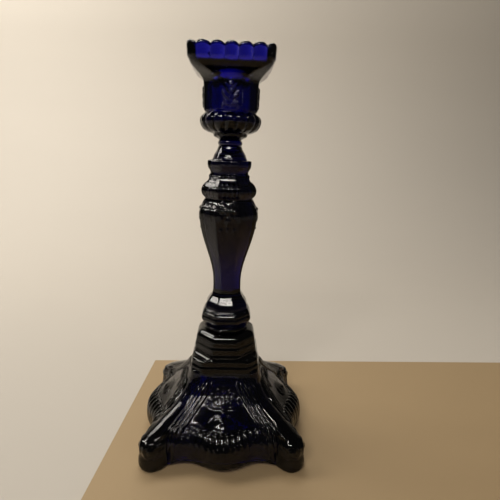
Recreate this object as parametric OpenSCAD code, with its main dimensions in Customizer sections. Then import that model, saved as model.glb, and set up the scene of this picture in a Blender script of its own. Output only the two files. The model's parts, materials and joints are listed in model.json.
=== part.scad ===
// Glass candlestick: five pressed pieces of dark blue glass, fused end to end.
// The base and the socket are hollow, and thin glass wafers join them to the stem.
// Origin: centre of the base, on the table. +Z runs up the stem, +X and +Y face two flat sides.

/* [Socket] */
// Diameter of the hole that takes the candle
candle_hole_d = 22.5; // [21:0.5:23]
// Depth of the candle hole below the floor of the drip pan
candle_hole_depth = 30; // [25:1:32]
// Half the width of the square drip pan, flat to flat
pan_a = 24.3; // [23:0.1:25]
// Height of the pan's fluted lip
lip_h = 8; // [6:0.5:9]
// Flutes between two corners of the pan
flutes = 5; // [3:1:7]

/* [Joints] */
// Thickness of the wafer between base and stem
base_wafer_t = 2.4; // [1.5:0.1:3]
// Thickness of the wafer between stem and socket
neck_wafer_t = 3.2; // [2:0.1:4]

/* [Base] */
// Distance from the middle of the base to the middle of each foot, along X and along Y
foot_at = 41.6; // [41:0.1:43]
// Radius of a foot
foot_r = 8.8; // [8.5:0.1:10]
// How far the middle of each side bulges from the centre
lobe_a = 53.4; // [52.5:0.1:54.5]
// Gap under the skirt between the feet
skirt_gap = 4; // [3:0.1:5]

/* [Hidden] */
glass = [0.06, 0.05, 0.30, 0.85];
reach = 90;          // longer than the object is wide
base_h = 72.4;
stem_h = 112.8;
socket_h = 49.2;
plinth_z = 50;       // where the flared base ends and the plinths begin
stem_z = base_h + base_wafer_t;
neck_z = stem_z + stem_h;
socket_z = neck_z + neck_wafer_t;
joint_a = 14.3;      // half width where stem, wafer and base meet
neck_r = 6.8;        // radius where stem, wafer and socket meet
pan_wall = 4.4;
$fn = 64;

// Outlines are lists of [half width, height]. ease() runs from p to q, upright at both ends.
function ease(p, q, n = 8) = [for (i = [0 : n]) let (t = i / n)
    [p[0] + (q[0] - p[0]) * (1 - cos(180 * t)) / 2, p[1] + (q[1] - p[1]) * t]];
// hump() runs from p to q and bulges by h between them.
function hump(p, q, h, n = 6) = [for (i = [0 : n]) let (t = i / n)
    [p[0] + (q[0] - p[0]) * t + h * sin(180 * t), p[1] + (q[1] - p[1]) * t]];
function mirrored(o) = [for (i = [len(o) - 1 : -1 : 0]) [-o[i][0], o[i][1]]];

// A bar with the outline on two opposite sides, turned about Z
module slab(outline, turn) {
    rotate([0, 0, turn]) rotate([90, 0, 0])
        linear_extrude(height = 2 * reach, center = true)
            polygon(concat(outline, mirrored(outline)));
}

// A column with one outline on its four sides and another on its four corners
module column(sides, corners) {
    intersection() {
        slab(sides, 0);
        slab(sides, 90);
        slab(corners, 45);
        slab(corners, 135);
    }
}

module octagonal(outline) {
    column(outline, outline);
}

// Corner outline of a square column whose corners are cut off by a flat of the given leg
function cut_corners(o, leg) = [for (p = o) [(2 * p[0] - leg) / sqrt(2), p[1]]];

module socket() {
    cup_a = 15.5;                     // half width of the octagonal candle cup
    cup_z = 13;
    flare_z = 33;                     // where the cup starts to spread into the pan
    lip_z = socket_h - lip_h;
    floor_z = lip_z - 1;              // floor of the pan
    lip_a = pan_a - 0.6;
    corner_a = (2 * pan_a - 3.6) / sqrt(2);
    gadroons = 16;
    flute_r = 3.4;
    flute_pitch = 2 * (lip_a - 3) / (flutes + 1);
    sides = concat([[cup_a, cup_z]], ease([cup_a, flare_z], [lip_a - 0.6, lip_z - 0.4]),
        [[lip_a, lip_z], [lip_a, socket_h]]);
    corners = concat([[cup_a, cup_z]], ease([cup_a, flare_z - 5], [corner_a - 0.4, lip_z - 2]),
        [[corner_a, lip_z], [corner_a, socket_h]]);
    cavity = [[pan_a - 7, floor_z], [pan_a - pan_wall - 0.6, floor_z + 2.5],
        [pan_a - pan_wall, socket_h + 1]];
    color(glass) translate([0, 0, socket_z])
    difference() {
        union() {
            // tapered foot and gadrooned bulge
            rotate_extrude() polygon(concat([[0, 0]], ease([neck_r, 0], [13, 6], 5), [[13, 15], [0, 15]]));
            for (i = [0 : gadroons - 1])
                rotate([0, 0, 360 * (i + 0.5) / gadroons]) translate([12.7, 0, 10.2])
                    rotate([90, 0, 0]) sphere(r = 5.5, $fn = 48);
            column(sides, corners);
            // fluted lip
            for (q = [0 : 90 : 270], i = [0 : flutes + 1]) rotate([0, 0, q])
                translate([(i - (flutes + 1) / 2) * flute_pitch, pan_a - flute_r, lip_z])
                    cylinder(r = flute_r, h = lip_h);
        }
        column(cavity, cut_corners(cavity, 3));
        translate([0, 0, floor_z - candle_hole_depth])
            cylinder(d = candle_hole_d, h = candle_hole_depth + 1);
    }
}

module neck_wafer() {
    color(glass) translate([0, 0, neck_z])
        rotate_extrude() polygon(concat([[0, 0]], hump([neck_r, 0], [neck_r, neck_wafer_t], 0.5),
            [[0, neck_wafer_t]]));
}

module stem() {
    knop = concat(ease([joint_a, 0], [15.8, 5], 5), [[15.8, 6.4], [15.3, 6.8], [15.2, 8.8], [14.6, 9.2],
        [14.4, 10.6], [13.6, 11]], ease([13.4, 12], [8.8, 22.9]));
    baluster = concat(ease([8.7, 28.4], [17.6, 72.9], 12), ease([17.5, 73.5], [14.3, 81.6], 5));
    ring = hump([14, 81.9], [12.7, 92.4], 2.7);
    collar = concat(ease([12.5, 92.7], [11.3, 96], 3), ease([11.3, 97], [13, 101.4], 3), [[13, 104]]);
    step = [[10.2, 104.4], [10, 105.5], [8, 105.7]];
    dome = ease([9.4, 105.8], [neck_r, stem_h], 4);
    color(glass) translate([0, 0, stem_z]) {
        octagonal(concat(knop, baluster, ring, collar, step));
        rotate_extrude() polygon(concat([[0, 100], [9.4, 100]], dome, [[0, stem_h]]));
    }
}

module base_wafer() {
    wafer_r = joint_a - 0.4;
    color(glass) translate([0, 0, base_h])
        rotate_extrude() polygon(concat([[0, 0]], hump([wafer_r, 0], [wafer_r, base_wafer_t], 0.5),
            [[0, base_wafer_t]]));
}

// Plan of the skirt: a square with a bulge on each side, a foot at each corner and a dip between them
module skirt_plan() {
    web_a = 46.8;                     // half width of the square between the feet
    lobe_r = 26;
    dip_r = 13;
    dip_at = 25;                      // how far each dip is from the middle of its side
    dip_a = 46;                       // how near to the centre it reaches
    difference() {
        union() {
            square(2 * web_a, center = true);
            for (q = [0 : 90 : 270]) rotate(q) {
                translate([foot_at, foot_at]) circle(r = foot_r);
                translate([0, lobe_a - lobe_r]) circle(r = lobe_r);
            }
        }
        for (q = [0 : 90 : 270], s = [-1, 1]) rotate(q)
            translate([s * dip_at, dip_a + dip_r]) circle(r = dip_r);
    }
}

module base() {
    sides = [[lobe_a, skirt_gap], [lobe_a, 9], [lobe_a - 0.4, 13], [52.7, 15.4], [51.6, 17.6],
        [50, 19.8], [48.3, 21.7], [46.6, 23.1], [45.2, 23.5], [44.2, 23.3], [43.2, 23.8], [40.8, 25.4],
        [36, 28], [31, 32], [27, 36.5], [24.5, 41], [22.8, 46], [21.8, plinth_z + 0.1]];
    corners = [[69, skirt_gap], [69, 8], [68.4, 13], [67, 15.6], [65, 18.3], [62, 20.3], [57.7, 22],
        [53.8, 24], [49, 26.3], [44, 28.6], [36.6, 32], [32.5, 35.5], [29.5, 40], [27.3, 45],
        [26.3, plinth_z + 0.1]];
    hollow_sides = [[40.5, -1], [40, 9], [38, 15], [33.5, 20], [28, 24.5], [22.4, 30.4], [18.6, 36.8],
        [16.2, 43], [13, 44.6]];
    hollow_corners = [[50, -1], [49, 10], [46, 15.5], [42, 21], [36, 25], [27.4, 30.4], [21.8, 36.8],
        [17.6, 43], [14, 44.6]];
    lower = [[21.8, plinth_z], [21.8, 52], [21.2, 52.6], [21, 56.8]];
    upper = [[20, 56.7], [20.1, 59], [19.7, 59.8], [19.6, 63.6], [19.1, 64], [18.9, 67.2], [18.5, 69],
        [17.7, 70.5], [16.4, 71.7], [joint_a, base_h]];
    color(glass) difference() {
        union() {
            intersection() {
                column(sides, corners);
                linear_extrude(height = plinth_z + 1) skirt_plan();
            }
            for (q = [0 : 90 : 270]) rotate([0, 0, q]) translate([foot_at, foot_at, 0])
                cylinder(r1 = foot_r - 0.8, r2 = foot_r - 0.1, h = skirt_gap + 1);
            column(lower, cut_corners(lower, 6.5));
            octagonal(upper);
        }
        column(hollow_sides, hollow_corners);
    }
}

socket();
neck_wafer();
stem();
base_wafer();
base();
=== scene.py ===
"""Looks of a pressed-glass candlestick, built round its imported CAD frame.

Every glass piece is one closed mesh: rings of points round the Z axis, which follow an outline up
the outside and down the inside. Shapes are worked out in millimetres and scaled once, in loft().
"""

import json
import math

import bpy
import numpy as np
from mathutils import Matrix, Vector


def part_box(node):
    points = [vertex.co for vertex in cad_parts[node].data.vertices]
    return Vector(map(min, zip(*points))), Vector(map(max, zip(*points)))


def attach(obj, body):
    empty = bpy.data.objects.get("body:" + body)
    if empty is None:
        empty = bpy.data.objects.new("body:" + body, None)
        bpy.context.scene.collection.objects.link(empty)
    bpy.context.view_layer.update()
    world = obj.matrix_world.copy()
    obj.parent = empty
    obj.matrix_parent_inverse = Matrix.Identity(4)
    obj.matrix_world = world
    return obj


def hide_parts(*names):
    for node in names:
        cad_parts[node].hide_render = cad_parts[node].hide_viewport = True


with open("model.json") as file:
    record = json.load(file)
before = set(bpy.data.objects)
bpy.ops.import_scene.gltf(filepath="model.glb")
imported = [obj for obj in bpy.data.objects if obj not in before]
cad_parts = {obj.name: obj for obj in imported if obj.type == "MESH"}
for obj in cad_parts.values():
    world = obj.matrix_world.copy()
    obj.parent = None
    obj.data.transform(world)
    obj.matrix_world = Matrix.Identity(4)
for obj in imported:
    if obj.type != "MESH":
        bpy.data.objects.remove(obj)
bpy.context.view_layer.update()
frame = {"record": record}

MM = 0.001
QUARTER = math.pi / 2
EIGHTH = math.pi / 4
TIP = 0.5                                 # radius of the last ring before the point on the axis
GAP = 0.02                                # left at each joint, so that no two faces coincide


def levels(node):
    """(lowest z, highest z) of a CAD node, in millimetres."""
    low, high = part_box(node)
    return low[2] / MM, high[2] / MM


def half_width(node):
    """Half the width of a CAD node along X, in millimetres."""
    low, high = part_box(node)
    return (high[0] - low[0]) / 2 / MM


def cut_corner(half, leg):
    """Half width across the corners of a square whose corners are cut off by a flat of the given leg."""
    return (2 * half - leg) / math.sqrt(2)


# ---- outlines -----------------------------------------------------------------------------------


def points(*rows):
    """A stretch of outline through the given rows."""
    return np.array(rows, float)


def ease(p, q, count=24):
    """From row p to row q: every width starts and ends upright, and the last value, z, is even."""
    t = np.linspace(0, 1, count)[:, None]
    p, q = np.array(p, float), np.array(q, float)
    rows = p + (q - p) * (1 - np.cos(np.pi * t)) / 2
    rows[:, -1] = (p[-1] + (q[-1] - p[-1]) * t)[:, 0]
    return rows


def hump(p, q, out, count=24):
    """From row p to row q, swelling by out between them."""
    t = np.linspace(0, 1, count)[:, None]
    p, q = np.array(p, float), np.array(q, float)
    rows = p + (q - p) * t
    rows[:, :-1] += out * np.sin(np.pi * t)
    return rows


def travelled(widths, z):
    """Distance along an outline, from its first row."""
    return np.concatenate([[0], np.cumsum(np.hypot(np.diff(widths), np.diff(z)))])


def respaced(rows, along, even, passes):
    """The rows of an outline at even distances along it, with its edges softened."""
    rows = np.stack([np.interp(even, along, column) for column in rows.T], axis=1)
    for _ in range(passes):
        rows[1:-1] = (rows[:-2] + 2 * rows[1:-1] + rows[2:]) / 4
    return rows


def joined(parts, step, passes=2):
    """The parts as one outline with even steps along its first width and z, its edges softened."""
    rows = np.vstack(parts)
    moved = np.hypot(np.diff(rows[:, 0]), np.diff(rows[:, -1]))
    rows = rows[np.concatenate([[True], moved > 1e-6])]
    along = travelled(rows[:, 0], rows[:, -1])
    even = np.linspace(0, along[-1], int(along[-1] / step) + 2)
    return respaced(rows, along, even, passes)


def blended(a, b, width):
    """The larger of a and b, with the crease between them filleted where they are nearly equal."""
    near = np.maximum(width - np.abs(a - b), 0) / width
    return np.maximum(a, b) + near ** 2 * width / 4


def smooth(t):
    """0 below 0, 1 above 1, and a smooth step between."""
    t = np.clip(t, 0, 1)
    return t * t * (3 - 2 * t)


# ---- rings --------------------------------------------------------------------------------------


def turn(count):
    """Angles of the points of a ring."""
    return np.arange(count) * 2 * np.pi / count


def folded(theta):
    """Angle from the middle of the nearest of four sides, from -45 to 45 degrees."""
    return (theta + EIGHTH) % QUARTER - EIGHTH


# How crisp the edges of a section are, as the power in its formula
FACETS = 44
PAN_INSIDE = 26
BODY = 40
HOLLOW = 24


def octagon(theta, side, corner, crisp):
    """Distance from the axis to a rounded octagon: side and corner are its two half widths."""
    total = 0
    for k in range(8):
        facing = np.maximum(np.cos(theta - k * EIGHTH), 1e-9)
        total = total + (facing / (corner if k % 2 else side)) ** crisp
    return total ** (-1 / crisp)


def ring_points(theta, radius, z):
    """Rows of rings as an array of points, in millimetres."""
    z = np.broadcast_to(z, radius.shape)
    return np.stack([radius * np.cos(theta), radius * np.sin(theta), z], axis=2)


def normals(grid):
    """Outward normals of rows of rings."""
    up = np.gradient(grid, axis=0)
    around = np.roll(grid, -1, axis=1) - np.roll(grid, 1, axis=1)
    out = np.cross(around, up)
    return out / np.maximum(np.linalg.norm(out, axis=2, keepdims=True), 1e-12)


def raised(grid, height):
    """The rings with each point moved out along its normal."""
    return grid + normals(grid) * height[:, :, None]


def loft(name, grid):
    """A closed mesh through rows of rings, with a point at each end on the axis."""
    rows, count, _ = grid.shape
    ends = [(0, 0, grid[0, :, 2].mean()), (0, 0, grid[-1, :, 2].mean())]
    verts = np.vstack([grid.reshape(-1, 3), ends]) * MM
    i, j = np.meshgrid(np.arange(rows - 1), np.arange(count), indexing="ij")
    k = (j + 1) % count
    quads = np.stack([i * count + j, i * count + k, (i + 1) * count + k, (i + 1) * count + j], axis=2)
    first, last, ring = rows * count, rows * count + 1, np.arange(count)
    after = (ring + 1) % count
    low = np.stack([np.full(count, first), after, ring], axis=1)
    base = (rows - 1) * count
    high = np.stack([np.full(count, last), base + ring, base + after], axis=1)
    mesh = bpy.data.meshes.new(name)
    mesh.from_pydata(verts.tolist(), [], quads.reshape(-1, 4).tolist() + low.tolist() + high.tolist())
    mesh.polygons.foreach_set("use_smooth", [True] * len(mesh.polygons))
    mesh.update()
    obj = bpy.data.objects.new(name, mesh)
    bpy.context.scene.collection.objects.link(obj)
    return obj


# ---- raised ornament ----------------------------------------------------------------------------
# u runs across a side from its middle and s along the outline, both in millimetres.


def bead(u, s, at, size, height):
    """A round or oval boss: size is its half width and half length."""
    d = ((u - at[0]) / size[0]) ** 2 + ((s - at[1]) / size[1]) ** 2
    return height * np.sqrt(np.maximum(1 - d, 0))


def leaf(u, s, start, end, width, height):
    """A leaf or rib from start to end, widest in its middle."""
    du, ds = end[0] - start[0], end[1] - start[1]
    long2 = du * du + ds * ds
    t = np.clip(((u - start[0]) * du + (s - start[1]) * ds) / long2, 0, 1)
    across = np.hypot(u - start[0] - t * du, s - start[1] - t * ds)
    reach = width * (0.35 + 0.65 * np.sin(np.pi * t))
    return height * np.sqrt(np.maximum(1 - (across / reach) ** 2, 0))


def ribs(u, pitch, phase=0.0, end=0.0):
    """Half-round ribs, from 0 in the valleys to 1 on the crests; end grows to 1 past their tips."""
    t = (u / pitch + phase) % 1
    return np.sqrt(np.maximum(1 - (2 * t - 1) ** 2 - end ** 2, 0))


def polished(height):
    """The raised work with its edges melted a little, as fire-polishing leaves them."""
    height = (np.roll(height, 1, axis=1) + 2 * height + np.roll(height, -1, axis=1)) / 4
    height[1:-1] = (height[:-2] + 2 * height[1:-1] + height[2:]) / 4
    return height


# ---- stem ---------------------------------------------------------------------------------------

DOME_Z = 104.8                            # above this the stem is round, not octagonal
ROUND_FIT = 1.035                         # a circle between an octagon's flats and its corners
RING_Z = 87.2                             # middle of the ribbed ring
RING_RIB_PITCH = 2.85


def stem():
    """Knop, octagonal baluster, ribbed ring, collar and round dome."""
    low, high = levels("stem")
    top = high - low
    outline = joined([
        points((TIP, GAP), (13.4, GAP), (14.0, 0.3)),
        ease((14.1, 0.5), (15.8, 5.0)),
        points((15.8, 6.4), (15.3, 6.8), (15.25, 8.8), (14.6, 9.2), (14.4, 10.6), (13.6, 11.0)),
        ease((13.4, 12.0), (8.8, 22.9)),
        points((8.7, 25.4)),
        ease((8.7, 28.4), (17.5, 72.9), 60),
        ease((17.4, 73.6), (14.3, 81.6)),
        hump((14.1, 81.9), (12.7, 92.4), 2.7),
        ease((12.5, 92.7), (11.3, 96.0)),
        ease((11.3, 97.0), (13.0, 101.4)),
        points((13.1, 101.8), (13.1, 104.0), (12.9, 104.3), (10.3, 104.5), (10.1, 105.6)),
        ease((9.6, 105.9), (6.9, top - 0.3)),
        points((6.6, top - GAP), (TIP, top - GAP)),
    ], step=0.42)
    side, z = outline[:, :1], outline[:, 1:]
    theta = turn(384)
    roundness = smooth(z - DOME_Z) + smooth((0.6 - z) / 0.6)
    radius = octagon(theta, side, side, FACETS)
    radius = radius + (side * ROUND_FIT - radius) * roundness
    grid = ring_points(theta, radius, z + low)

    # u runs across each of the eight facets in turn, and on_side is 1 on the four sides
    facet = (theta + EIGHTH / 2) % EIGHTH - EIGHTH / 2
    u = radius * np.sin(facet)
    on_side = (np.round(theta / EIGHTH) % 2 == 0).astype(float)
    # ribs on each side of the ring
    ring = np.exp(-((z - RING_Z) / 4.2) ** 6)
    raise_by = 1.35 * ring * (ribs(u, RING_RIB_PITCH, 0.5) - 0.6) * on_side
    # beads round the waist under the collar
    for at in (-3.3, 0.0, 3.3):
        raise_by += bead(u, z, (at, 95.2), (1.2, 1.1), 0.8) * on_side
    # flower, drop and beads on the shoulder of the baluster
    flower = leaf(np.abs(u), z, (0.8, 76.2), (4.6, 80.6), 1.5, 0.8)
    flower = np.maximum(flower, leaf(np.abs(u), z, (1.0, 75.2), (5.4, 75.8), 1.3, 0.8))
    flower = np.maximum(flower, leaf(np.abs(u), z, (0.8, 74.4), (3.6, 70.6), 1.2, 0.7))
    flower = np.maximum(flower, bead(u, z, (0, 75.4), (1.5, 1.5), 1.3))
    flower = np.maximum(flower, bead(u, z, (0, 69.6), (1.5, 2.9), 1.0))
    flower = np.maximum(flower, bead(np.abs(u), z, (3.9, 64.0), (1.0, 1.0), 0.7))
    flower = np.maximum(flower, bead(u, z, (0, 64.4), (0.9, 1.3), 0.6))
    raise_by += on_side * flower
    # a fine fillet along each edge of the baluster
    edge = np.exp(-((np.abs(facet) - EIGHTH / 2) / 0.035) ** 2)
    raise_by += 0.14 * edge * smooth((z - 32) / 20) * smooth((82 - z) / 6)
    return loft("stem_glass", raised(grid, polished(raise_by)))


# ---- wafers -------------------------------------------------------------------------------------

SWELL = 0.5                               # how far a wafer's edge bulges


def wafer(node):
    """A thin disc of glass whose edge bulges where it was squeezed while hot."""
    low, high = levels(node)
    edge = half_width(node) - SWELL
    outline = joined([
        points((0.4, low + GAP), (edge - 0.4, low + GAP)),
        hump((edge, low + 0.05), (edge, high - 0.05), SWELL),
        points((edge - 0.4, high - GAP), (0.4, high - GAP)),
    ], step=0.25)
    theta = turn(192)
    uneven = 1 + 0.004 * np.sin(3 * theta + 0.7) + 0.003 * np.sin(5 * theta)
    return loft(f"{node}_glass", ring_points(theta, outline[:, :1] * uneven, outline[:, 1:]))


# ---- socket -------------------------------------------------------------------------------------

LIP_H = 8.0                               # height of the pan's fluted lip
FLUTES = 5                                # between two corners of the pan
SCALLOP = 1.6                             # how far the lip's edge dips between two flutes
GADROONS = 16                             # round the bulb
GADROON_TOP = 12.0                        # where their round heads start
BULB_TOP = 16.4
CUP_LOW, CUP_HIGH = 15.5, 31.0            # the part of the cup that has sprigs
# half width and z of the bulb
BULB = ((10.2, 3.6), (12.9, 4.3), (15.0, 5.6), (16.6, 7.6), (17.4, 9.8), (17.5, 11.6), (17.0, 13.4),
        (15.9, 14.9))


def socket():
    """Petalled foot, gadrooned bulb, octagonal cup and square drip pan with the candle hole."""
    low, high = levels("socket")
    top = high - low
    pan = half_width("socket")
    corner = cut_corner(pan, 3.6)
    lip_z = top - LIP_H
    hole = next(m for m in frame["record"]["mounts"] if m["name"] == "candle_hole")
    hole_r = hole["dims"]["r_mm"]
    hole_top = hole["pos_m"][2] / MM + hole["dims"]["length_mm"] / 2 - low
    hole_low = hole_top - hole["dims"]["length_mm"]

    # columns: side half width, corner half width, z
    outside = joined([
        points((TIP, TIP, GAP), (6.4, 6.4, GAP), (6.8, 6.8, 0.3)),
        ease((6.9, 6.9, 0.5), (9.6, 9.6, 2.4), 10),
        points((9.8, 9.8, 3.0), (9.6, 9.6, 3.5)),
        points(*[(a, a, z) for a, z in BULB]),
        points((15.4, 15.4, 16.4), (15.5, 15.5, 18), (15.6, 15.6, 25), (15.7, 15.9, 30.2)),
        ease((15.8, 16.2, 31.4), (pan - 1.6, corner - 1.6, lip_z - 0.4), 30),
        points((pan - 0.9, corner - 0.8, lip_z), (pan - 0.7, corner - 0.5, lip_z + 1),
               (pan - 0.35, corner - 0.2, top - 1.2), (pan - 0.7, corner - 0.6, top - 0.25),
               (pan - 1.4, corner - 1.3, top)),
    ], step=0.44)
    inside = joined([
        points((pan - 3.2, corner - 2.9, top - 0.2), (pan - 4.2, corner - 3.6, top - 1.2),
               (pan - 4.9, corner - 4.4, lip_z + 1.2), (pan - 5.3, corner - 5.2, lip_z - 0.1),
               (pan - 6.2, corner - 7.4, lip_z - 0.7), (pan - 8.0, corner - 10.5, hole_top + 0.15),
               (hole_r + 2.2, hole_r + 2.2, hole_top + 0.15),
               (hole_r + 0.4, hole_r + 0.4, hole_top - 0.1), (hole_r, hole_r, hole_top - 0.6),
               (hole_r, hole_r, hole_low + 0.8), (hole_r - 0.8, hole_r - 0.8, hole_low),
               (TIP, TIP, hole_low)),
    ], step=0.8, passes=1)
    rows = np.vstack([outside, inside])
    side, corners, z = rows[:, :1], rows[:, 1:2], rows[:, 2:]
    theta = turn(576)
    outer = np.arange(len(rows))[:, None] < len(outside)
    on_bulb = smooth((BULB_TOP - z) / 1.2) * outer
    in_hole = smooth((hole_top + 0.6 - z) / 0.8) * ~outer
    radius = octagon(theta, side, corners, np.where(outer, FACETS, PAN_INSIDE))
    radius = radius + (side - radius) * (on_bulb + in_hole)

    # gadroons round the bulb, each with a round head, and petals on the foot below it
    head = np.clip((z - GADROON_TOP) / 3.0, 0, 2)
    gadroon = ribs(theta * GADROONS / (2 * np.pi), 1.0, 0.5, head)
    radius = radius + on_bulb * smooth((z - 3.4) / 3.0) * (1.5 * gadroon - 0.8)
    petal = np.exp(-((z - 2.4) / 1.2) ** 2) * np.abs(np.cos(GADROONS / 2 * theta))
    radius = radius + 0.45 * on_bulb * petal

    # flutes on the lip, and the scallops that they end in
    fold = folded(theta)
    u = radius * np.sin(fold)
    flute = ribs(u, 2 * (pan - 1.8) / (FLUTES + 1), 0.5) ** 1.6
    in_lip = smooth((z - lip_z + 0.6) / 1.2)
    grid_z = z + low - SCALLOP * (1 - flute) * smooth((z - top + 4) / 4)
    radius = radius + in_lip * (flute - 0.65) * np.where(outer, 0.9, -0.5)
    grid = ring_points(theta, radius, grid_z)

    # a sprig on each of the four sides of the cup
    on_side = np.abs(fold) < EIGHTH / 2
    on_cup = outer * on_side * smooth(z - CUP_LOW) * smooth((CUP_HIGH - z) / 2)
    sprig = leaf(u, z, (0, 17.5), (0, 27.5), 0.8, 0.7)
    for start, end, width in (((0.4, 18.6), (4.2, 21.0), 1.2), ((0.4, 21.2), (4.6, 25.2), 1.3),
                              ((0.3, 24.3), (2.8, 29.0), 1.1)):
        sprig = np.maximum(sprig, leaf(np.abs(u), z, start, end, width, 1.0))
    sprig = np.maximum(sprig, bead(u, z, (0, 29.4), (1.4, 1.4), 1.0))
    sprig = np.maximum(sprig, bead(np.abs(u), z, (4.1, 18.2), (1.0, 1.0), 0.8))
    return loft("socket_glass", raised(grid, polished(on_cup * sprig)))


# ---- base ---------------------------------------------------------------------------------------
# Rows from the table up to the plinth. Each gives a section through the middle of a side and one along
# a leg: side half width, side z, flat corner half width, dip, leg reach, leg radius, leg z.
# The dip is how far the outline draws in on each side of the lobe in the middle of a side.

BASE_ROWS = (
    (51.4, 4.0, 55.0, 6.6, 66.0, 8.2, 0.05),
    (52.6, 4.6, 55.0, 7.0, 66.8, 8.7, 0.8),
    (53.0, 6.0, 55.0, 7.2, 67.2, 8.9, 2.6),
    (53.1, 9.0, 55.0, 7.2, 66.9, 8.6, 6.4),
    (53.0, 11.0, 55.0, 7.2, 65.9, 7.8, 9.2),
    (52.8, 13.0, 55.0, 7.2, 66.4, 7.8, 12.0),
    (52.3, 15.2, 54.6, 7.2, 66.4, 7.4, 15.0),
    (51.2, 17.3, 54.0, 7.1, 64.6, 6.7, 17.6),
    (49.6, 19.4, 53.2, 7.0, 61.8, 6.0, 19.8),
    (47.9, 21.3, 52.4, 6.8, 58.8, 5.5, 21.5),
    (46.4, 22.7, 51.6, 6.5, 56.4, 5.1, 22.7),
    (45.2, 23.1, 50.6, 6.2, 54.6, 4.8, 23.6),
    (44.2, 23.0, 49.4, 5.9, 53.0, 4.6, 24.4),
    (43.2, 23.7, 48.0, 5.3, 50.8, 4.5, 25.5),
    (40.6, 25.3, 45.2, 4.0, 47.8, 4.3, 27.0),
    (36.0, 28.0, 41.0, 2.0, 43.4, 4.1, 29.2),
    (31.0, 32.0, 36.2, 0.7, 37.6, 4.0, 32.0),
    (27.0, 36.5, 31.6, 0.0, 32.6, 4.0, 36.1),
    (24.5, 41.0, 28.7, 0.0, 29.2, 4.0, 40.9),
    (22.8, 46.0, 27.1, 0.0, 27.3, 4.0, 45.9),
    (21.9, 49.8, 26.2, 0.0, 26.3, 4.0, 49.8),
)
LEG_RIB_ROW = 9                           # where the ribs beside the legs start
CREST_ROW = 10                            # top of the roll round the skirt
GROOVE_ROW = 12                           # groove between the roll and the body
GADROON_PITCH = 3.45
LEG_RIB_PITCH = 1.8
LEG_RIBS = 4
LEG_RIB_START = 4.8                       # from the diagonal to the first rib
LEG_RIB_TOP = 21.0                        # they end about this far above the groove
LEG_R = 4                                 # radius of a leg where it runs up the body
VOLUTE_AT = 41.2                          # from the middle of a side to the eye of a foot's volute
VOLUTE_Z = 13.2
VOLUTE_R = 4.4                            # from the eye to the raised curl round it
EYE_R = 2.2
DIP_AT = 25.0                             # from the middle of a side to the bottom of each dip
LIFT = BASE_ROWS[0][1] - BASE_ROWS[0][6]  # how far the skirt clears the table between the feet
# half width and z of the square plinth and of the octagonal one on it
SQUARE_PLINTH = ((21.9, 51.9), (21.3, 52.5), (21.1, 56.4))
OCTAGONAL_PLINTH = ((20.4, 56.9), (20.2, 59.0), (19.7, 59.6), (19.6, 63.6), (19.1, 64.0), (18.9, 67.2),
                    (18.5, 69.0), (17.7, 70.5), (16.4, 71.7))


def level_of(row):
    """Distance along the outline of the base from the foot of the skirt to a row."""
    table = np.array(BASE_ROWS)
    return float(travelled(table[:, 0], table[:, 1])[row])


def plinths(top):
    """Rows above the flare, in the form of BASE_ROWS, up to the joint at the given top."""
    joint = tuple((a, top - GAP) for a in (14.6, 13.9, TIP))
    square = [(a, z, cut_corner(a, 6.5), 0, 0, LEG_R, z) for a, z in SQUARE_PLINTH]
    return square + [(a, z, a, 0, 0, LEG_R, z) for a, z in OCTAGONAL_PLINTH + joint]


def base_outside(theta):
    """Rings up the outside of the base: their radius and z, and the distance along the outline."""
    rows = np.array(list(BASE_ROWS) + plinths(levels("base")[1]), float)
    along = travelled(rows[:, 0], rows[:, 1])
    even = np.linspace(0, along[-1], int(along[-1] / 0.56))
    columns = respaced(rows, along, even, passes=2).T[:, :, None]
    side, side_z, flat, dip, reach, leg_r, leg_z = columns

    fold = folded(theta)
    off = EIGHTH - np.abs(fold)               # angle from the nearest diagonal
    drawn_in = dip * smooth(side * np.tan(np.abs(fold)) / DIP_AT)
    near = np.cos(fold) / (side - drawn_in)
    beside = np.maximum(np.sin(np.abs(fold)), 1e-9) / (side - drawn_in)
    radius = (near ** BODY + (np.cos(off) / flat) ** BODY + beside ** BODY) ** (-1 / BODY)
    centre = np.maximum(reach - leg_r, 0)
    room = np.maximum(leg_r ** 2 - (centre * np.sin(off)) ** 2, 0)
    leg = np.where(room > 0, centre * np.cos(off) + np.sqrt(room), 0)
    fillet = 4 + 6 * smooth((21 - side_z) / 8)
    radius = blended(radius, leg, fillet)
    has_leg = reach > 1                       # the plinths have none
    on_leg = has_leg * (1 - smooth((radius * np.sin(off) - 0.6 * leg_r) / (1.2 * leg_r)))
    z = side_z + (leg_z - side_z) * on_leg
    return radius, z, even[:, None]


def skirt_work(mid, aside, s):
    """Gadroons over the roll that run down the skirt as ribs.

    mid is the distance from the middle of a side, and aside is the distance from the diagonal.
    """
    crest = level_of(CREST_ROW)
    spread = mid / (1 + 0.006 * (crest - s))
    end = np.clip((s - crest + 0.4) / 2.6, 0, 2)
    on_roll = np.exp(-((s - crest + 4.2) / 5.6) ** 4)
    on_skirt = smooth((crest - 8 - s) / 4) * smooth(s / 2)
    inside = smooth((aside - 6.6) / 2.4)
    lobes = ribs(spread, GADROON_PITCH, 0.5, end)
    return (lobes - 0.55) * (1.6 * on_roll + 0.6 * on_skirt) * inside


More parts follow.
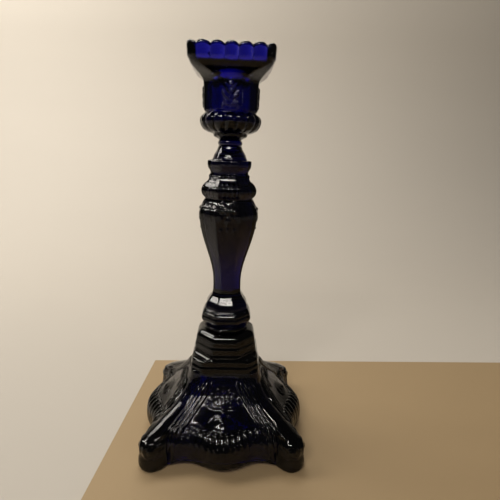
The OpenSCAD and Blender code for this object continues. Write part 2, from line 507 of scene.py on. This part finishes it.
def panel_work(mid, u, d):
    """Stepped boss, shell and beads: d is the distance above the groove.

    mid, the distance from the middle of a side, puts the leaves of the shell and the beads on both
    halves of it.
    """
    work = np.maximum(bead(u, d, (0, 6.0), (8.4, 5.2), 1.4), bead(u, d, (0, 6.0), (6.2, 3.8), 2.1))
    work = np.maximum(work, bead(u, d, (0, 5.8), (3.4, 2.0), 2.7))
    for k in range(5):
        a = math.radians(20 * k)
        start = (1.6 * math.sin(a), 15.4 - 1.8 * math.cos(a))
        end = (9.2 * math.sin(a), 15.0 + 7.0 * math.cos(a))
        work = np.maximum(work, leaf(mid, d, start, end, 1.4, 1.1))
    for at, size in (((0, 25.6), 1.4), ((3.9, 24.0), 1.2), ((7.0, 21.6), 1.1), ((10.0, 18.4), 1.2)):
        work = np.maximum(work, bead(mid, d, at, (size, size * 1.15), 1.1))
    return 0.8 * work


def leg_work(aside, s):
    """Ribs beside each leg, from under the plinth to the skirt: aside is the distance from the diagonal."""
    low, high = level_of(LEG_RIB_ROW), level_of(GROOVE_ROW) + LEG_RIB_TOP
    end = np.clip((low - s) / 3.0, 0, 2) + np.clip((s - high - 0.5 * aside) / 4.0, 0, 2)
    from_start = aside - LEG_RIB_START
    to_stop = LEG_RIBS * LEG_RIB_PITCH - from_start
    inside = smooth((from_start + 0.1) / 0.3) * smooth((to_stop + 0.1) / 0.3)
    return 0.95 * ribs(from_start, LEG_RIB_PITCH, 0, end) * inside


def foot_work(mid, out, z):
    """The volute on both outer faces of each foot: out is the distance from the axis towards that face."""
    from_eye = np.hypot(mid - VOLUTE_AT, z - VOLUTE_Z)
    curl = np.exp(-((from_eye - VOLUTE_R) / 0.85) ** 2)
    eye = 1.4 * np.sqrt(np.maximum(1 - (from_eye / EYE_R) ** 2, 0))
    return 0.5 * (curl + eye) * smooth((out - 44) / 3)


def base():
    """Four scroll feet, a gadrooned serpentine skirt, a flared body with legs, and two plinths."""
    theta = turn(832)
    radius, z, s = base_outside(theta)
    fold = folded(theta)
    off = EIGHTH - np.abs(fold)
    u = radius * np.sin(fold)
    aside = radius * np.sin(off)
    work = skirt_work(np.abs(u), aside, s) + panel_work(np.abs(u), u, s - level_of(GROOVE_ROW))
    work = work + leg_work(aside, s) + foot_work(np.abs(u), radius * np.cos(fold), z)
    outside = raised(ring_points(theta, radius, z), polished(work))

    # columns: side half width, corner half width, z
    hollow = joined([
        points((TIP, TIP, 44.6), (13.0, 14.0, 44.6), (16.2, 17.6, 43.0), (18.6, 21.8, 36.8),
               (22.4, 27.4, 30.4), (28.0, 35.5, 24.6), (33.5, 41.5, 20.2), (37.8, 45.6, 15.2),
               (40.0, 48.6, 10.0), (40.8, 49.6, 5.4), (41.4, 50.2, 4.2), (42.6, 51.4, 4.0)),
    ], step=1.3)
    side, corner, hollow_z = hollow[:, :1], hollow[:, 1:2], hollow[:, 2:]
    inner = octagon(theta, side, corner, HOLLOW)
    on_foot = 1 - smooth((inner * np.sin(off) - 6.0) / 3.0)
    hollow_z = hollow_z - LIFT * on_foot * smooth((10.0 - hollow_z) / 6.0)
    return loft("base_glass", np.concatenate([ring_points(theta, inner, hollow_z), outside]))


# ---- glass --------------------------------------------------------------------------------------


def blue_glass(name, seed, density):
    """Cobalt glass: clear at its surface, with the colour in its depth, so that thick parts go black."""
    material = bpy.data.materials.new(name)
    material.use_nodes = True
    nodes, links = material.node_tree.nodes, material.node_tree.links
    nodes.clear()
    output = nodes.new("ShaderNodeOutputMaterial")
    shader = nodes.new("ShaderNodeBsdfPrincipled")
    shader.inputs["Base Color"].default_value = (0.86, 0.88, 1.0, 1)
    shader.inputs["Transmission Weight"].default_value = 1.0
    shader.inputs["IOR"].default_value = 1.52
    links.new(shader.outputs["BSDF"], output.inputs["Surface"])

    volume = nodes.new("ShaderNodeVolumeAbsorption")
    volume.inputs["Color"].default_value = (0.02, 0.0, 0.76, 1)
    volume.inputs["Density"].default_value = density
    links.new(volume.outputs["Volume"], output.inputs["Volume"])

    place = nodes.new("ShaderNodeTexCoord")
    mapping = nodes.new("ShaderNodeMapping")
    mapping.inputs["Location"].default_value = (seed * 0.37, seed * 0.21, seed * 0.53)
    links.new(place.outputs["Object"], mapping.inputs["Vector"])

    def noise(scale, detail):
        node = nodes.new("ShaderNodeTexNoise")
        node.inputs["Scale"].default_value = scale
        node.inputs["Detail"].default_value = detail
        links.new(mapping.outputs["Vector"], node.inputs["Vector"])
        return node

    # handling marks: patches a little less polished than the rest
    marks = nodes.new("ShaderNodeMapRange")
    marks.inputs["From Min"].default_value = 0.35
    marks.inputs["From Max"].default_value = 0.75
    marks.inputs["To Min"].default_value = 0.07
    marks.inputs["To Max"].default_value = 0.15
    links.new(noise(140, 4).outputs["Fac"], marks.inputs["Value"])
    links.new(marks.outputs["Result"], shader.inputs["Roughness"])

    # the slow ripple and fine chill marks that the iron mould leaves
    ripple = nodes.new("ShaderNodeBump")
    ripple.inputs["Strength"].default_value = 0.35
    ripple.inputs["Distance"].default_value = 0.0004
    links.new(noise(160, 1).outputs["Fac"], ripple.inputs["Height"])
    chill = nodes.new("ShaderNodeBump")
    chill.inputs["Strength"].default_value = 0.12
    chill.inputs["Distance"].default_value = 0.0001
    links.new(noise(900, 2).outputs["Fac"], chill.inputs["Height"])
    links.new(ripple.outputs["Normal"], chill.inputs["Normal"])
    links.new(chill.outputs["Normal"], shader.inputs["Normal"])
    return material


DENSITY = 900.0                           # how strongly the depth of the glass absorbs light
STEM_DENSITY = 680.0                      # the solid stem lets a little more through
PIECES = (
    ("socket", socket, DENSITY),
    ("neck_wafer", lambda: wafer("neck_wafer"), DENSITY),
    ("stem", stem, STEM_DENSITY),
    ("base_wafer", lambda: wafer("base_wafer"), DENSITY),
    ("base", base, DENSITY),
)
for seed, (node, build, density) in enumerate(PIECES):
    piece = build()
    piece.data.materials.append(blue_glass(f"blue_glass_{node}", seed, density))
    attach(piece, "root")
    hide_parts(node)


# ---- stage --------------------------------------------------------------------------------------

HALF = 2.0                                # half the width of the floor
WALL_Y = 0.75                             # how far back the backdrop stands
WALL_H = 0.90
BEND = 0.45                               # radius of the curve between floor and backdrop
DROP = -0.004                             # the floor round the table top lies a little lower
TABLE_BACK = [(-0.064, 0.083, 0), (0.60, 0.093, 0)]
TABLE_FRONT = [(-0.101, -0.45, 0), (0.60, -0.45, 0)]


def plain(name, colour, rough):
    """A matt surface with a faint mottle."""
    material = bpy.data.materials.new(name)
    material.use_nodes = True
    nodes, links = material.node_tree.nodes, material.node_tree.links
    shader = nodes["Principled BSDF"]
    shader.inputs["Roughness"].default_value = rough
    noise = nodes.new("ShaderNodeTexNoise")
    noise.inputs["Scale"].default_value = 6.0
    ramp = nodes.new("ShaderNodeMapRange")
    ramp.inputs["To Min"].default_value = 0.97
    ramp.inputs["To Max"].default_value = 1.03
    tint = nodes.new("ShaderNodeVectorMath")
    tint.operation = "SCALE"
    tint.inputs[0].default_value = colour
    links.new(noise.outputs["Fac"], ramp.inputs["Value"])
    links.new(ramp.outputs["Result"], tint.inputs["Scale"])
    links.new(tint.outputs["Vector"], shader.inputs["Base Color"])
    return material


def stage_strip(name, rows, material):
    """A piece of the stage through rows of points, each given from left to right."""
    count = len(rows[0])
    faces = [(i * count + j, i * count + j + 1, (i + 1) * count + j + 1, (i + 1) * count + j)
             for i in range(len(rows) - 1) for j in range(count - 1)]
    mesh = bpy.data.meshes.new(name)
    mesh.from_pydata([point for row in rows for point in row], [], faces)
    mesh.polygons.foreach_set("use_smooth", [True] * len(mesh.polygons))
    obj = bpy.data.objects.new(name, mesh)
    obj.data.materials.append(material)
    bpy.context.scene.collection.objects.link(obj)


def sweep():
    """Profile (y, z) of the pale floor, which curves up into the backdrop."""
    angles = [math.radians(a) for a in range(0, 91, 5)]
    bend = [(WALL_Y - BEND + BEND * math.sin(a), DROP + BEND - BEND * math.cos(a)) for a in angles]
    return [(-HALF, DROP), *bend, (WALL_Y, WALL_H)]


stage_strip("table_top", [TABLE_BACK, TABLE_FRONT], plain("warm_top", (0.43, 0.32, 0.19), 0.6))
stage_strip("floor_and_backdrop", [[(-HALF, y, z), (HALF, y, z)] for y, z in sweep()],
            plain("pale_floor", (0.60, 0.56, 0.50), 0.85))


MIDDLE = (0, 0, 0.12)                     # of the candlestick
WARM = (1.0, 0.95, 0.88)


def softbox(name, at, aim, size, radiance):
    """A warm rectangular light of a width and height, at a place and pointed at a place."""
    light = bpy.data.lights.new(name, "AREA")
    light.shape = "RECTANGLE"
    light.size, light.size_y = size
    light.energy = radiance * math.pi * size[0] * size[1]
    light.color = WARM
    obj = bpy.data.objects.new(name, light)
    obj.location = at
    obj.rotation_euler = (Vector(aim) - Vector(at)).to_track_quat("-Z", "Y").to_euler()
    obj.visible_camera = False
    bpy.context.scene.collection.objects.link(obj)


softbox("left", (-0.92, 0.06, 0.60), MIDDLE, (0.12, 0.24), 9.0)
softbox("front", (-0.26, -0.92, 0.98), MIDDLE, (0.80, 0.24), 12.0)
softbox("right", (0.80, -0.72, 0.30), MIDDLE, (0.06, 0.24), 3.5)
softbox("overhead", (-0.10, 0.50, 1.10), (0, 0.30, 0), (0.60, 0.36), 4.5)
softbox("wall_wash", (-0.62, 0.28, 0.80), (-0.40, WALL_Y, 0.20), (0.50, 0.40), 6.0)

world = bpy.data.worlds.new("room")
world.use_nodes = True
background = world.node_tree.nodes["Background"]
background.inputs["Color"].default_value = (0.85, 0.82, 0.78, 1)
background.inputs["Strength"].default_value = 0.07
scene = bpy.context.scene
scene.world = world
scene.cycles.max_bounces = 24
scene.cycles.transmission_bounces = 24
scene.view_settings.view_transform = "Standard"
scene.view_settings.look = "Medium High Contrast"


# ---- camera -------------------------------------------------------------------------------------

CAMERA_AT = (0.0035, -0.250, 0.1827)
YAW, PITCH, ROLL = 2.45, 13.25, 2.05      # degrees: to the right, down, clockwise
camera = bpy.data.cameras.new("camera")
camera.lens = 29.0
camera.sensor_width = 36.0
camera.clip_start = 0.01
eye = bpy.data.objects.new("camera", camera)
eye.matrix_world = (Matrix.Translation(CAMERA_AT)
                    @ Matrix.Rotation(math.radians(-YAW), 4, "Z")
                    @ Matrix.Rotation(math.radians(90 - PITCH), 4, "X")
                    @ Matrix.Rotation(math.radians(ROLL), 4, "Z"))
scene.collection.objects.link(eye)
scene.camera = eye
